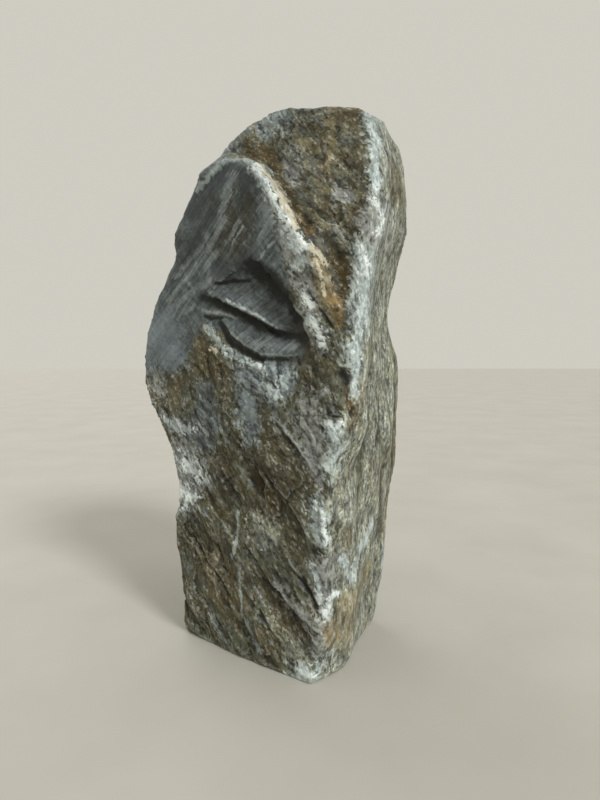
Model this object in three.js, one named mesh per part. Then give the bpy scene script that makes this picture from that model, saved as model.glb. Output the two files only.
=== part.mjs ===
// A rough block of soapstone, one piece, standing on a flat foot.
// Millimetres: X to the right, Y to the back, Z up. Four upright corner lines give the plan at each height.
// The left-front face is a depth over X and Z, because the upper facet, the scoop and the hollow are cut in it.
import * as THREE from 'three';
import { ImprovedNoise } from 'three/addons/math/ImprovedNoise.js';
import { mergeVertices } from 'three/addons/utils/BufferGeometryUtils.js';

// Corner lines. Each knot is [height, x, y].
const leftEdge = [
  [0, -67, -13.5], [44, -69.5, -12], [68, -74, -9], [98, -69.5, -10], [114, -73, -9], [134, -80, -2],
  [152, -90.5, 6], [171, -100, 15], [190, -100.5, 17], [207, -97.5, 14], [229, -90.5, 9], [249, -79, 2],
  [260, -72.5, -2], [273, -75.5, 0], [288, -67.5, -4], [309, -54, -12], [319, -41, -20], [332, -33.5, -26],
  [345, -25, -31],
];
const frontEdge = [
  [0, 18, -82], [46, 26.5, -82], [105, 27, -81], [145, 35, -79], [182, 42.5, -77], [208, 43, -74],
  [252, 45, -63], [285, 55.5, -57], [345, 56, -41],
];
const rightEdge = [
  [0, 68, 4], [27, 74, 12], [46, 76.5, 16], [67, 80, 18], [99, 82.5, 24], [112, 87, 28], [159, 89, 33],
  [190, 87.5, 32], [211, 80, 24], [226, 80, 23], [252, 85.5, 28], [278, 93.5, 36], [290, 95.5, 38],
  [308, 92, 36], [331, 89, 30], [345, 82, 24],
];
const backEdge = [
  [0, -14, 72], [55, -9, 81], [110, -14, 88], [160, -4, 91], [205, -12, 86], [250, 2, 82], [290, 8, 70],
  [332, 18, 58],
];

// The proud lower slab of the left-front face runs on to this corner line, which the upper facet cuts away.
const slabCorner = [
  [0, 18, -82], [46, 26.5, -82], [105, 27, -81], [145, 35, -79], [182, 42.5, -77], [208, 43, -74],
  [250, 36, -71], [293, 33, -69], [345, 30, -67],
];
const slabSwell = 3.5;

// The upper facet is a plane that leans back: y = start + perX * x + perZ * z.
const upperFacet = { start: -115.4, perX: -0.404, perZ: 0.283 };

// Crest of the slab, where it breaks back to the upper facet. Knots are [x, height].
const crest = [
  [-60, 306], [-48, 313], [-36, 318], [-23.5, 316], [-12, 308], [-3, 293.5], [8, 277], [15, 262], [24.5, 248],
  [31.5, 231], [40, 213], [60, 176],
];
const crestBreak = { steep: 2.4, gentle: 0.8, from: 0, to: 28 }; // depth gained per millimetre, over x

// The hollow under its brow. Knots are [x, height] and [x, depth].
const brow = [[-54, 234], [-38, 244], [-21, 252], [-10, 250], [-1, 243], [8, 231], [14, 218], [21, 202]];
const lip = [[-54, 228], [-37, 215], [-28, 203], [-15, 195], [-2, 190.5], [14, 191], [21, 196]];
const hollowDepth = [[-54, 0], [-36, 4], [-14, 9], [-2, 11], [10, 8], [21, 1]];
const flakeEdge = [[-54, 233], [-35, 226], [-18, 217], [-2, 207.5], [21, 204]];
const flake = { proud: 3.2, rise: 12 };

const scoop = { x: [-78, -20], z: [262, 256], depth: 3, halfHeight: 15, fade: 16 };
const pit = { x: 43, z: 181, radius: 8, depth: 4.5 };
const footRounding = { height: 4, inset: 1.4 };

// Broken faces at the back and the shoulders: planes through a point, facing out along their normal.
const breaks = [
  { through: [66, 50, 300], facing: [0.5, 0.55, 0.66] },
  { through: [-24, 52, 300], facing: [-0.42, 0.62, 0.66] },
  { through: [50, 62, 120], facing: [0.52, 0.84, -0.12] },
  { through: [-46, 62, 205], facing: [-0.56, 0.8, 0.2] },
  { through: [22, 84, 236], facing: [0.3, 0.9, 0.32] },
  { through: [-58, 42, 110], facing: [-0.78, 0.62, -0.08] },
];

// Heights of the top edge over the corners, with the left-front stretch given by parts of that face.
const frontRim = [
  [0, 341], [0.08, 349], [0.2, 354], [0.3, 354], [0.4, 353], [0.55, 350], [0.7, 347], [0.85, 345], [1, 340.5],
];
const backRim = [
  [1, 341], [1.1, 339], [1.25, 340], [1.5, 343], [1.75, 342], [2, 338], [3, 329], [3.7, 335], [4, 341],
];
const top = { x: 26, y: 8, height: 355.5, fall: 0.16 };

const edges = [leftEdge, frontEdge, rightEdge, backEdge];
const edgeWear = [0, 0, 5, 17]; // how far kinks are worn round at each corner line
const faceWear = 40; // and how much further across a face, away from the corner

// Mesh density: columns on each face, rows up the side, rings on the top and the foot.
const faceColumns = [34, 18, 12, 12];
const sideRows = 56;
const topRings = 5;
const footRings = 2;
const denseBand = { from: 185, to: 325, weight: 1.45 };

const stoneFinish = { color: 0x6f7064, roughness: 0.6, metalness: 0 };

const noise = new ImprovedNoise();
const { lerp, clamp, smoothstep } = THREE.MathUtils;
const columnCount = faceColumns.reduce((one, other) => one + other, 0);

// Straight run between the knots of a [key, ...values] line: one number or a list of them.
function along(knots, key) {
  let index = 0;
  while (index < knots.length - 2 && key > knots[index + 1][0]) index += 1;
  const [from, to] = [knots[index], knots[index + 1]];
  const part = clamp((key - from[0]) / (to[0] - from[0]), 0, 1);
  const values = from.slice(1).map((value, place) => lerp(value, to[place + 1], part));
  return values.length === 1 ? values[0] : values;
}

// The same line with its kinks worn round, for the faces between the corners.
function wornAlong(knots, key, wear) {
  const samples = [-1, -0.5, 0, 0.5, 1].map((offset) => along(knots, key + offset * wear));
  return samples[0].map((_, place) => samples.reduce((sum, sample) => sum + sample[place], 0) / samples.length);
}

// How far past the crest a point of the left-front face lies, measured across the crest.
function pastCrest(x, z) {
  const acrossFactor = lerp(0.95, 0.62, smoothstep(x, -24, -8));
  return (z - along(crest, x)) * acrossFactor;
}

// Depth of the hollow at a point: steep under the brow, then a long slope out to the lip.
function hollowAt(x, z) {
  if (x < hollowDepth[0][0] || x > hollowDepth.at(-1)[0]) return 0;
  const low = along(lip, x);
  const part = (z - low) / (along(brow, x) - low);
  if (part <= 0 || part >= 1) return 0;
  const profile = part < 0.8 ? smoothstep(part, 0, 0.8) : 1 - smoothstep(part, 0.86, 1);
  const rise = z - along(flakeEdge, x);
  const ledge = rise > 0 && rise < flake.rise ? flake.proud * (1 - rise / flake.rise) : 0;
  return along(hollowDepth, x) * profile - ledge * profile;
}

function scoopAt(x, z) {
  const part = clamp((x - scoop.x[0]) / (scoop.x[1] - scoop.x[0]), 0, 1);
  const off = (z - lerp(...scoop.z, part)) / scoop.halfHeight;
  return scoop.depth * Math.exp(-off * off) * (1 - smoothstep(x, scoop.x[1], scoop.x[1] + scoop.fade));
}

// Y of the left-front face over X and Z, before its roughness.
function leftFrontY(x, z) {
  const [leftX, leftY] = along(leftEdge, z);
  const [cornerX, cornerY] = along(slabCorner, z);
  const part = (x - leftX) / (cornerX - leftX);
  const slab = lerp(leftY, cornerY, part) - slabSwell * Math.sin(Math.PI * clamp(part, 0, 1));
  const facet = upperFacet.start + upperFacet.perX * x + upperFacet.perZ * z;
  const slope = lerp(crestBreak.steep, crestBreak.gentle, smoothstep(x, crestBreak.from, crestBreak.to));
  const cut = Math.max(0, Math.min(facet - slab, slope * pastCrest(x, z)));
  return slab + cut + hollowAt(x, z) + scoopAt(x, z);
}

// A corner of the plan at a height. The first two end the left-front face, so they take its depth.
function cornerAt(index, z, wear) {
  const corner = index % 4;
  const [x, y] = wornAlong(edges[corner], z, edgeWear[corner] + wear);
  return corner < 2 ? [x, leftFrontY(x, z)] : [x, y];
}

// How far a face swells outwards between its corners.
function swellAt(face, part, z) {
  const arch = Math.sin(Math.PI * part);
  if (face === 1) {
    const up = smoothstep(z, 10, 110);
    const shoulder = Math.exp(-(((part - lerp(0.26, 0.17, up)) / lerp(0.24, 0.13, up)) ** 2));
    return arch * 3 + shoulder * lerp(8, 5, up);
  }
  if (face === 2) return arch * (8 + 6 * smoothstep(z, 60, 200) - 5 * smoothstep(z, 250, 330));
  return arch * (9 - 7 * smoothstep(z, 170, 280));
}

// Which face a column is on, and how far along it.
function columnPlace(column) {
  let face = 0;
  let left = column;
  while (left >= faceColumns[face]) {
    left -= faceColumns[face];
    face += 1;
  }
  return [face, left / faceColumns[face]];
}

// Split flakes: plateaus with short steps, long down the foliation and narrow across it.
function flakesAt(point) {
  const alongGrain = 0.57 * point.x - 0.37 * point.y - 0.73 * point.z;
  const acrossGrain = 0.75 * point.x - 0.12 * point.y + 0.62 * point.z;
  const intoGrain = 0.32 * point.x + 0.93 * point.y - 0.19 * point.z;
  const level = 8 + 3.2 * noise.noise(alongGrain / 52, acrossGrain / 22, intoGrain / 30);
  const step = Math.floor(level) + smoothstep(level % 1, 0.3, 0.7);
  return (step - 8) * 1.3 + noise.noise(alongGrain / 24, acrossGrain / 9, intoGrain / 12) * 1.3;
}

function lumpsAt(point) {
  const broad = noise.noise(point.x / 58, point.y / 58, point.z / 74 + 3.7);
  const fine = noise.noise(point.x / 21 + 9.1, point.y / 21, point.z / 27);
  return broad * 4 + fine * 1.8;
}

// Takes off what stands outside a broken face, short of the two corner lines at the front.
function breakOff(point, outwards, reach) {
  breaks.forEach(({ through, facing }) => {
    const normal = new THREE.Vector3(...facing).normalize();
    const outside = normal.dot(point.clone().sub(new THREE.Vector3(...through)));
    const pull = Math.max(0.35, normal.dot(outwards));
    if (outside > 0) point.addScaledVector(outwards, (-outside / pull) * reach);
  });
}

// Point on the side of the block for a column and a height.
function sidePoint(column, z) {
  const [face, part] = columnPlace(column);
  const wear = face === 0 ? 0 : faceWear;
  const [fromX, fromY] = cornerAt(face, z, wear * part);
  const [toX, toY] = cornerAt(face + 1, z, wear * (1 - part));
  const point = new THREE.Vector3(lerp(fromX, toX, part), lerp(fromY, toY, part), z);
  if (face === 0) {
    point.y = leftFrontY(point.x, z);
  } else {
    const length = Math.hypot(toX - fromX, toY - fromY);
    const swell = swellAt(face, part, z);
    point.x += ((toY - fromY) / length) * swell;
    point.y -= ((toX - fromX) / length) * swell;
  }
  const outwards = new THREE.Vector3(point.x, point.y, 0).normalize();
  const fromFront = face === 2 ? part : 1 - part;
  if (face > 1) breakOff(point, outwards, smoothstep(fromFront * faceColumns[face], 0, 3));
  const onSlab = smoothstep(z, 195, 235) * (1 - smoothstep(pastCrest(point.x, z), 0, 10));
  const smoothSlab = face === 0 ? 1 - 0.75 * onSlab : 1;
  const fromCorner = Math.min(part, 1 - part) * faceColumns[face];
  const cornerCalm = 0.35 + 0.65 * smoothstep(fromCorner, 0, 4);
  const rough = (flakesAt(point) + lumpsAt(point)) * smoothSlab * cornerCalm * smoothstep(z, 0, 18);
  const foot = footRounding.inset * (1 - Math.min(1, z / footRounding.height)) ** 2;
  const pitGap = Math.hypot(point.x - pit.x, z - pit.z) / pit.radius;
  const dent = face < 2 && pitGap < 1 ? pit.depth * (1 - pitGap * pitGap) : 0;
  return point.addScaledVector(outwards, rough - foot - dent);
}

function rimHeight(column) {
  const [face, part] = columnPlace(column);
  return face === 0 ? along(frontRim, part) : along(backRim, face + part);
}

// Rows as parts of the height, two of them low on the foot and more of them over the crest and the hollow.
function rowParts() {
  const rimAt = 343;
  const parts = [0, 1.2 / rimAt, footRounding.height / rimAt];
  const fine = 600;
  const weightAt = (part) => (part * rimAt > denseBand.from && part * rimAt < denseBand.to ? denseBand.weight : 1);
  const start = parts.at(-1);
  const steps = Array.from({ length: fine }, (_, index) => start + ((index + 0.5) / fine) * (1 - start));
  const sum = steps.reduce((total, part) => total + weightAt(part), 0);
  const rows = sideRows - 2;
  let filled = 0;
  steps.forEach((part) => {
    filled += (weightAt(part) / sum) * rows;
    if (filled >= parts.length - 2 - 1e-6) parts.push(part + (0.5 / fine) * (1 - start));
  });
  return parts;
}
const sideParts = rowParts();

// The top is a worn dome that falls to the back, and takes its edge from the side.
function topPoint(column, ring) {
  const rim = sidePoint(column, rimHeight(column));
  const inwards = ring / topRings;
  const point = rim.clone().lerp(new THREE.Vector3(top.x, top.y, 0), inwards);
  const dome = top.height - top.fall * Math.max(0, point.y) + 3 * noise.noise(point.x / 26, point.y / 26, 5.3);
  point.z = lerp(rim.z, dome, 1 - (1 - inwards) ** 3);
  return point;
}

function footPoint(column, ring) {
  return sidePoint(column, 0).multiplyScalar(ring / footRings);
}

// The skin is a globe grid: its first rows are the top, its last rows the foot, the rest the side.
function stoneGeometry() {
  const rows = topRings + sideRows + footRings;
  const geometry = new THREE.SphereGeometry(1, columnCount, rows);
  const { position, uv } = geometry.attributes;
  for (let index = 0; index < position.count; index += 1) {
    const row = Math.round((1 - uv.getY(index)) * rows);
    const column = Math.floor(uv.getX(index) * columnCount + 1e-4) % columnCount;
    let point;
    if (row < topRings) point = topPoint(column, topRings - row);
    else if (row > topRings + sideRows) point = footPoint(column, rows - row);
    else point = sidePoint(column, sideParts[topRings + sideRows - row] * rimHeight(column));
    position.setXYZ(index, point.x, point.y, point.z);
  }
  geometry.deleteAttribute('normal');
  geometry.deleteAttribute('uv');
  const skin = mergeVertices(geometry, 1e-3);
  // The origin is the middle of the foot of the whole block's box.
  skin.computeBoundingBox();
  const centre = skin.boundingBox.getCenter(new THREE.Vector3());
  skin.translate(-centre.x, -centre.y, -skin.boundingBox.min.z);
  skin.computeVertexNormals();
  return skin;
}

const block = new THREE.Group();
const stone = new THREE.Mesh(stoneGeometry(), new THREE.MeshStandardMaterial(stoneFinish));
stone.name = 'stone';
block.add(stone);

export default block;
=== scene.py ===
import bmesh
import bpy
import numpy
from mathutils import Matrix, Vector, noise


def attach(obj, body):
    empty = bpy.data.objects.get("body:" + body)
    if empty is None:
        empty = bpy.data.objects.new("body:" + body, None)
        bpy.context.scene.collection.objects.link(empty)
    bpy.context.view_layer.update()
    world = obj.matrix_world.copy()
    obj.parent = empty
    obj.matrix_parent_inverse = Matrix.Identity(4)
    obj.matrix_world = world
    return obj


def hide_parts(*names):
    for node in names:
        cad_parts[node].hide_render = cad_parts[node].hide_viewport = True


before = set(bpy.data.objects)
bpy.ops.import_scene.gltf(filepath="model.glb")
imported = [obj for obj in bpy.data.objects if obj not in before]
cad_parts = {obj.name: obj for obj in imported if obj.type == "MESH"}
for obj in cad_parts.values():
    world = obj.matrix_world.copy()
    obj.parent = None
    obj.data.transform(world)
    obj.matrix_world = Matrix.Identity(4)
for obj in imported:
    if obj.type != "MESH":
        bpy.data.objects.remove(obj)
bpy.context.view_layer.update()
mm = 0.001

# Skin: an even, fine surface cut from the solid.
skin = {
    "weld": 1e-6,  # points this near each other become one
    "turn": 36,  # degrees about Z while it is cut, so that rows of faces run along the stone's sides
    "cell": 2.1 * mm,
    "fineFacing": (-0.5, -0.86, 0.1),  # faces turned this way are cut twice as fine
    "fineShare": 0.35,  # how squarely they have to face it
    "easeRounds": 8,
    "easeShare": 0.5,  # how far one round takes a point towards its neighbours
    "easeBack": 0.52,  # pushed out again after each easing, so that the stone doesn't shrink
}


# Halves the faces that look the fine way.
def cutFiner(faces):
    facing = Vector(skin["fineFacing"]).normalized()
    faces.normal_update()
    chosen = [
        edge for edge in faces.edges
        if any(face.normal.dot(facing) > skin["fineShare"] for face in edge.link_faces)
    ]
    bmesh.ops.subdivide_edges(faces, edges=chosen, cuts=1, use_grid_fill=True)
    bmesh.ops.triangulate(faces, faces=faces.faces)


def evenSkin(node):
    turn = Matrix.Rotation(numpy.radians(skin["turn"]), 4, "Z")
    solid = bmesh.new()
    solid.from_mesh(node.data)
    bmesh.ops.remove_doubles(solid, verts=solid.verts, dist=skin["weld"])
    bmesh.ops.transform(solid, matrix=turn, verts=solid.verts)
    mesh = bpy.data.meshes.new("stoneSkin")
    solid.to_mesh(mesh)
    solid.free()
    piece = bpy.data.objects.new("stoneSkin", mesh)
    bpy.context.scene.collection.objects.link(piece)
    cells = piece.modifiers.new("cells", "REMESH")
    cells.mode = "VOXEL"
    cells.voxel_size = skin["cell"]
    ready = piece.evaluated_get(bpy.context.evaluated_depsgraph_get())
    even = bpy.data.meshes.new_from_object(ready)
    piece.modifiers.clear()
    faces = bmesh.new()
    faces.from_mesh(even)
    bpy.data.meshes.remove(even)
    bmesh.ops.transform(faces, matrix=turn.inverted(), verts=faces.verts)
    cutFiner(faces)
    faces.to_mesh(mesh)
    faces.free()
    mesh.update()
    return piece


stone = evenSkin(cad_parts["stone"])
print("skin cut:", len(stone.data.vertices), "points,", len(stone.data.polygons), "faces")

# The grain: thin leaves that lie against the left-front face, long down the slope, narrow across it.
grain = {
    "along": (0.57, -0.37, -0.73),
    "across": (0.75, -0.12, 0.62),
    "into": (0.32, 0.93, -0.19),
}
slabGrain = [(0.60, -0.37, 0.71), (-0.60, 0.38, 0.71), (-0.53, -0.85, 0.0)]  # lines on the slab

# Relief that runs all over: lengths along, across and into the grain, then the height it reaches.
relief = {
    "blocks": (84, 44, 28, 3.2),  # big broken faces, on the back and the sides
    "plates": (44, 15, 10.0, 1.2),  # flat flakes with a step at each edge
    "chips": (13, 6.0, 5.0, 0.75),
    "leaves": (30, 9, 6.0, 0.9),
    "crumbs": (4.5, 3.2, 2.6, 0.45),
    "onSlab": 0.3,  # share of the finer four that the smooth slab keeps, and then the side and the facet
    "onSide": 0.5,
    "onFacet": 0.75,
    "within": (0.3, 0.7),  # how much of a mask it takes to be off an area, and on it
    "blocksOnFront": 0.15,
    "blockRounds": 12,  # rounds of easing that soften the edges of the big faces
    "platesOff": 0.7,  # share left off the front, and then of the chips, leaves and crumbs
    "fineOff": 0.6,
    "platesAcross": 0.4,  # share left where a face cuts across the leaves, and then of the finer three
    "fineAcross": 0.45,
    "gusts": ((60, 30, 24), 0.75, 0.9),  # swell of the finer three: its lengths, middle and swing
    "bends": ((14, 9, 7), 2.2),  # wander of the flakes' edges: its lengths and width
    "waver": (8, 1.0),  # length and width of the wander in every mark and outline
    "flakeLevel": 0.6,  # how far flakes differ in level, beside their tilt
    "octaves": (0.9, 2.1),  # what each octave of noise loses, and how much finer it is
    "ledgeSoft": 0.8,
    "ledgeFade": 0.3,  # share of a ledge's length over which each end fades
    "footFade": (0.3, 4.0),  # heights between which the relief sets in
}

# Steps that keep one noise apart from the next.
apart = {
    "waver": (31.7, 5.1),
    "gusts": 41.3,
    "bends": 17.9,
    "flakes": 8.7,
    "leaves": 11.3,
}

# Wear: rounds of easing, and the share of it that is taken.
wear = {
    "cornerRounds": 26,
    "backRounds": 40,
    "backShare": 0.8,
    "backSharp": (0.4, 1.6),  # how far a corner stands out where wear starts, and where it is full
    "slabRounds": 14,
    "slabShare": 0.7,
    "slabMask": (0.4, 0.8),
    "aboveFoot": (3, 25),  # heights between which it sets in
}

# Which way a face looks: the part of its outward direction where it starts to count, and where it is full.
facing = {
    "rounds": 12,  # rounds of easing before the direction is read
    "front": (-0.25, 0.0),
    "right": (0.3, 0.55),
    "side": (0.35, 0.75),
}

# What stands out from the skin eased this many rounds, and how strongly that shows in the finish, where it
# drives worn edges, paler corners, painted shade in hollows and painted light on rounded parts.
bendMasks = {
    "bend": (5, 1.1),
    "broadBend": (40, 0.3),
}

# The stone's different surfaces: kind, how softly the outline ends, and the outline.
areas = {
    "slab": ("slab", 4, [
        (-45, 317), (-30, 321), (-14, 312), (-6, 300), (0, 284), (7, 267), (7, 249), (12, 227), (22, 211),
        (22, 195), (17, 191), (-7, 190), (-21, 197), (-34, 206), (-48, 215), (-56, 205), (-62, 188),
        (-78, 181), (-104, 176), (-106, 232), (-84, 279),
    ]),
    "facet": ("facet", 3, [
        (-50, 316), (-35, 342), (-8, 366), (20, 372), (57, 366), (57, 285), (47, 255), (46, 225), (43, 213),
        (37, 213), (34, 231), (27, 248), (18, 261), (11, 277), (2, 293), (-9, 308), (-21, 320),
    ]),
    "side": ("side", 4, [
        (46, 208), (46, 182), (38, 145), (30, 105), (30, 46), (20, -8), (80, -16), (110, 233), (98, 355),
        (59, 350), (57, 285), (46, 249),
    ]),
    "rim": ("steel", 2, [
        (-50, 314), (-38, 320), (-27, 331), (-21, 338), (-14, 345), (-24, 350), (-52, 330),
    ]),
    # Painted sky light: the top edge faces up, and is painted light blue-grey where it catches the sky.
    "blueTop": ("blue", 4, [
        (-13, 345), (-8, 353), (4, 358), (14, 352), (16, 344), (6, 338), (-4, 334), (-11, 337),
    ]),
    "rustCorner": ("rust", 2, [
        (-20, 335), (-8, 332), (2, 324), (6, 312), (4, 302), (-4, 309), (-11, 316), (-21, 322),
    ]),
    "facetGreyHigh": ("grey", 4, [(5, 326), (16, 322), (18, 308), (12, 300), (5, 305)]),
    "facetGreyLow": ("grey", 3, [(36, 298), (48, 294), (50, 286), (42, 283), (36, 288)]),
    "brownTop": ("brown", 3, [(36, 352), (57, 349), (55, 334), (44, 332), (38, 338)]),
    "brownRight": ("brown", 3, [(50, 324), (57, 326), (58, 304), (52, 300)]),
    "brownInner": ("brown", 3, [(27, 315), (35, 312), (36, 300), (29, 300)]),
    "rustStrip": ("rust", 2, [(26, 264), (34, 256), (46, 250), (47, 225), (43, 221), (39, 235), (34, 249)]),
    "spur": ("tan", 3, [
        (21, 252), (32, 251), (37, 239), (39, 226), (36, 217), (30, 219), (27, 230), (23, 241),
    ]),
    "spurFoot": ("orange", 3, [(31, 232), (38, 232), (43, 220), (42, 211), (38, 212), (33, 222)]),
    "paleBand": ("paleGrey", 3, [
        (54, 340), (62, 346), (69, 338), (69, 322), (67, 304), (68, 292), (59, 289), (58, 300),
        (57, 325),
    ]),
    "greyBand": ("grey", 3, [
        (59, 293), (68, 292), (77, 289), (80, 272), (72, 258), (60, 257), (49, 262), (51, 275),
    ]),
    "bandMiddle": ("paleGrey", 3, [
        (48, 263), (64, 259), (66, 240), (62, 216), (59, 204), (46, 204), (46, 232), (48, 250),
    ]),
    "bandLow": ("paleGrey", 3, [(40, 199), (53, 206), (54, 186), (50, 176), (44, 184)]),
    "brownShoulder": ("brown", 5, [(72, 320), (84, 322), (93, 300), (78, 292), (72, 298)]),
    # Painted light on the same upward-facing top edge.
    "paleTop": ("paleGrey", 3, [(-10, 346), (-4, 352), (4, 352), (8, 345), (0, 338), (-8, 340)]),
    "besideHollow": ("grey", 3, [
        (3, 276), (10, 268), (18, 262), (24, 248), (27, 232), (31, 218), (26, 208), (34, 196), (28, 192),
        (22, 212), (17, 224), (12, 238), (6, 254), (0, 266),
    ]),
    "slabWarm": ("slabBrown", 3, [
        (-42, 296), (-30, 298), (-20, 306), (-10, 290), (-9, 268), (-20, 252), (-41, 254),
    ]),
    # Painted shadow under the brow of the hollow.
    "hollowShade": ("dark", 1.2, [
        (-20, 253), (-7, 252), (4, 243), (11, 232), (14, 222), (9, 224), (2, 231), (-6, 238),
        (-14, 243),
    ]),
    "bulge": ("blue", 6, [(-106, 230), (-74, 226), (-62, 214), (-60, 196), (-62, 184), (-104, 180)]),
    "brownLobe": ("brown", 5, [
        (-48, 213), (-40, 200), (-31, 193), (-26, 184), (-28, 172), (-36, 165), (-44, 176), (-56, 176),
        (-66, 166), (-74, 158), (-80, 178), (-62, 184), (-57, 200),
    ]),
    "greyLobe": ("grey", 6, [(-96, 180), (-80, 180), (-78, 165), (-89, 161)]),
    "steelLeft": ("steel", 4, [
        (-54, 178), (-42, 174), (-36, 152), (-38, 132), (-56, 127), (-70, 138), (-56, 154),
    ]),
    "blueMass": ("blue", 3, [
        (-26, 192), (-12, 188), (0, 191), (12, 190), (14, 180), (11, 170), (5, 165), (-2, 162), (-8, 166),
        (-16, 168), (-24, 170),
    ]),
    "steelSeam": ("blue", 4, [
        (-26, 186), (-20, 172), (-10, 168), (-8, 150), (-9, 138), (-18, 136), (-23, 152),
    ]),
    "umberRight": ("umber", 2, [(19, 191), (28, 189), (29, 172), (22, 172)]),
    "umberMiddle": ("umber", 4, [
        (-8, 162), (5, 156), (14, 141), (21, 128), (27, 117), (26, 104), (21, 80), (13, 72), (4, 84),
        (-8, 102), (-20, 124), (-27, 143), (-16, 133), (-9, 146),
    ]),
    "rustMiddle": ("rust", 3, [(-13, 124), (-4, 118), (5, 104), (-3, 101), (-12, 110)]),
    "umberLeft": ("umber", 4, [(-42, 134), (-31, 136), (-23, 120), (-27, 98), (-40, 97), (-44, 112)]),
    "greyLeftWide": ("grey", 4, [
        (-74, 136), (-58, 134), (-46, 122), (-42, 108), (-50, 98), (-56, 84), (-72, 80),
    ]),
    "whiteLeftHigh": ("white", 3, [(-68, 128), (-55, 125), (-46, 115), (-47, 107), (-58, 110), (-68, 116)]),
    "whiteLeftLow": ("white", 3, [(-70, 106), (-57, 106), (-50, 98), (-56, 92), (-70, 92)]),
    "greyLeftHigh": ("grey", 4, [(-80, 152), (-66, 150), (-56, 146), (-56, 138), (-78, 138)]),
    "greyRight": ("grey", 5, [(15, 172), (30, 172), (33, 150), (33, 130), (26, 120), (19, 134), (12, 150)]),
    "arrisHigh": ("paleGrey", 4, [
        (30, 158), (42, 158), (44, 146), (42, 128), (36, 118), (30, 124), (31, 140),
    ]),
    "arrisMiddle": ("paleGrey", 3, [(21, 112), (28, 114), (34, 102), (35, 82), (28, 79), (22, 86)]),
    "greyRound": ("side", 4, [(-16, 95), (-6, 97), (4, 90), (3, 76), (-10, 74)]),
    "umberLow": ("umber", 4, [(-70, 80), (-56, 78), (-48, 66), (-44, 52), (-56, 48), (-70, 58)]),
    "brownLow": ("brown", 7, [(-46, 66), (-22, 60), (-16, 42), (-24, 22), (-42, 28), (-52, 48)]),
    # Umber, and painted shadow below the low flake's overhanging edge.
    "darkBand": ("umber", 2, [
        (-12, 62), (-4, 60), (4, 51), (14, 41), (25, 32), (24, 21), (12, 25), (2, 34), (-7, 45),
    ]),
    "greyFoot": ("side", 4, [(-2, 33), (10, 28), (22, 20), (23, 10), (6, 8), (0, 16)]),
    "brownFoot": ("brown", 2.5, [(-15, 25), (-6, 18), (4, 4), (-4, 2), (-12, 12)]),
    "footPale": ("pale", 3, [(8, 9), (22, 11), (34, 16), (31, 2), (20, -6), (9, 0)]),
    "arrisFoot": ("grey", 4, [
        (25, 78), (37, 78), (38, 58), (33, 40), (30, 22), (24, 12), (20, 20), (26, 40), (24, 56),
    ]),
    "orangeSide": ("orange", 2, [(31, 37), (35, 39), (37, 31), (36, 24), (33, 22), (31, 28)]),
    "tanSide": ("tan", 7, [(38, 48), (52, 52), (58, 40), (53, 28), (42, 16), (36, 22)]),
    "rustSide": ("rust", 4, [(43, 174), (49, 174), (54, 158), (50, 148), (45, 157)]),
}

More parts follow.
